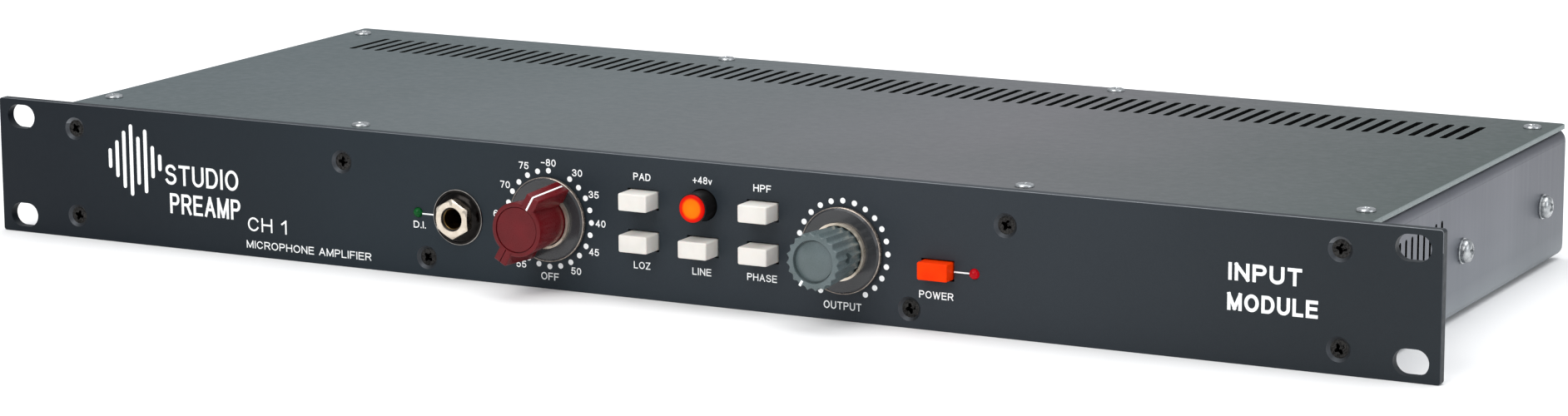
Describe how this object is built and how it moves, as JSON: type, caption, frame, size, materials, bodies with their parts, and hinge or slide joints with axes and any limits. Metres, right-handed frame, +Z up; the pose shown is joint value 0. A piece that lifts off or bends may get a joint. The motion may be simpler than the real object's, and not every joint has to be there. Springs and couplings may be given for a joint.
{
  "type": "microphone preamplifier",
  "caption": "Rack-mount microphone preamplifier with a winged gain knob, fluted output knob, push buttons, instrument jack and rear audio and mains connectors.",
  "frame": {"origin": "centre of the front panel's rear face, the face that meets the rack rails", "axes": "+X to the right as seen from the front, +Y to the rear, +Z up"},
  "size_m": [0.482, 0.2011, 0.043],
  "materials": {
    "panel_paint": "satin powder coat",
    "black_steel": "black oxide",
    "tray_metal": "zinc grey satin",
    "cover_paint": "fine textured grey green",
    "bright_steel": "zinc plated",
    "shaft_metal": "plain",
    "switch_plastic": "moulded",
    "nickel": "nickel plate",
    "black_plastic": "moulded",
    "green_lens": "clear moulded",
    "red_lens": "clear moulded",
    "board_green": "solder mask",
    "can_black": "sleeved",
    "transformer_steel": "plated",
    "winding": "taped",
    "rubber_pad": "matte",
    "sink_alloy": "black anodised",
    "connector_shell": "moulded",
    "contact_brass": "plated",
    "wire_red": "insulated",
    "wire_grey": "insulated",
    "crimson_plastic": "satin moulded",
    "grey_plastic": "satin moulded",
    "clear_plastic": "clear",
    "white_plastic": "moulded",
    "orange_lens": "lit",
    "red_plastic": "moulded",
    "latch_metal": "stamped"
  },
  "bodies": {
    "preamp": {"front_panel": "panel_paint", "panel_screws": "black_steel", "chassis_tray": "tray_metal", "front_subpanel": "tray_metal", "top_cover": "cover_paint", "cover_screws": "bright_steel", "base_screws": "bright_steel", "side_screws": "bright_steel", "gain_switch": "switch_plastic", "output_pot": "switch_plastic", "bushing_nuts": "shaft_metal", "push_switches": "switch_plastic", "mains_switch": "switch_plastic", "jack_body": "black_plastic", "jack_washer": "nickel", "jack_nut": "nickel", "input_led": "green_lens", "power_led": "red_lens", "main_board": "board_green", "power_board": "board_green", "control_board": "board_green", "board_spacers": "bright_steel", "board_screws": "bright_steel", "capacitors": "can_black", "input_transformer": "transformer_steel", "output_transformer": "transformer_steel", "mains_transformer": "winding", "transformer_pads": "rubber_pad", "transformer_clamp": "bright_steel", "transformer_bolt": "bright_steel", "heatsink": "sink_alloy", "regulators": "switch_plastic", "mic_connector": "connector_shell", "line_connector": "connector_shell", "output_connector": "connector_shell", "mains_inlet": "black_plastic", "rear_contacts": "contact_brass", "rear_screws": "bright_steel", "mains_wires": "wire_red", "signal_wires": "wire_grey"},
    "gain_control": {"gain_knob": "crimson_plastic", "gain_skirt": "clear_plastic", "gain_collar": "nickel", "gain_shaft": "shaft_metal"},
    "output_control": {"output_knob": "grey_plastic", "output_skirt": "clear_plastic", "output_collar": "nickel", "output_shaft": "shaft_metal"},
    "pad_key": {"pad_button": "white_plastic"},
    "loz_key": {"loz_button": "white_plastic"},
    "line_key": {"line_button": "white_plastic"},
    "hpf_key": {"hpf_button": "white_plastic"},
    "phase_key": {"phase_button": "white_plastic"},
    "lamp_key": {"lamp_sleeve": "black_plastic", "lamp_lens": "orange_lens"},
    "power_key": {"power_button": "red_plastic"},
    "mic_lever": {"mic_latch": "latch_metal"},
    "line_lever": {"line_latch": "latch_metal"},
    "drawer": {"fuse_drawer": "black_plastic"}
  },
  "joints": [
    {"name": "gain_turn", "type": "hinge", "parent": "preamp", "child": "gain_control", "pos_m": [-0.0381, 0, 0], "axis": [0, 1, 0], "range_deg": [0, 330]},
    {"name": "output_turn", "type": "hinge", "parent": "preamp", "child": "output_control", "pos_m": [0.0601, 0, -0.0005], "axis": [0, 1, 0], "range_deg": [0, 300]},
    {"name": "pad_press", "type": "slide", "parent": "preamp", "child": "pad_key", "axis": [0, 1, 0], "range_m": [0, 0.0028], "stiffness_N_per_m": 300},
    {"name": "loz_press", "type": "slide", "parent": "preamp", "child": "loz_key", "axis": [0, 1, 0], "range_m": [0, 0.0028], "stiffness_N_per_m": 300},
    {"name": "line_press", "type": "slide", "parent": "preamp", "child": "line_key", "axis": [0, 1, 0], "range_m": [0, 0.0028], "stiffness_N_per_m": 300},
    {"name": "hpf_press", "type": "slide", "parent": "preamp", "child": "hpf_key", "axis": [0, 1, 0], "range_m": [0, 0.0028], "stiffness_N_per_m": 300},
    {"name": "phase_press", "type": "slide", "parent": "preamp", "child": "phase_key", "axis": [0, 1, 0], "range_m": [0, 0.0028], "stiffness_N_per_m": 300},
    {"name": "lamp_press", "type": "slide", "parent": "preamp", "child": "lamp_key", "axis": [0, 1, 0], "range_m": [0, 0.0028], "stiffness_N_per_m": 300},
    {"name": "power_press", "type": "slide", "parent": "preamp", "child": "power_key", "axis": [0, 1, 0], "range_m": [-0.0028, 0]},
    {"name": "mic_latch_press", "type": "slide", "parent": "preamp", "child": "mic_lever", "axis": [0, 0, -1], "range_m": [0, 0.0008], "stiffness_N_per_m": 500},
    {"name": "line_latch_press", "type": "slide", "parent": "preamp", "child": "line_lever", "axis": [0, 0, -1], "range_m": [0, 0.0008], "stiffness_N_per_m": 500},
    {"name": "drawer_pull", "type": "slide", "parent": "preamp", "child": "drawer", "axis": [0, 1, 0], "range_m": [0, 0.02]}
  ]
}
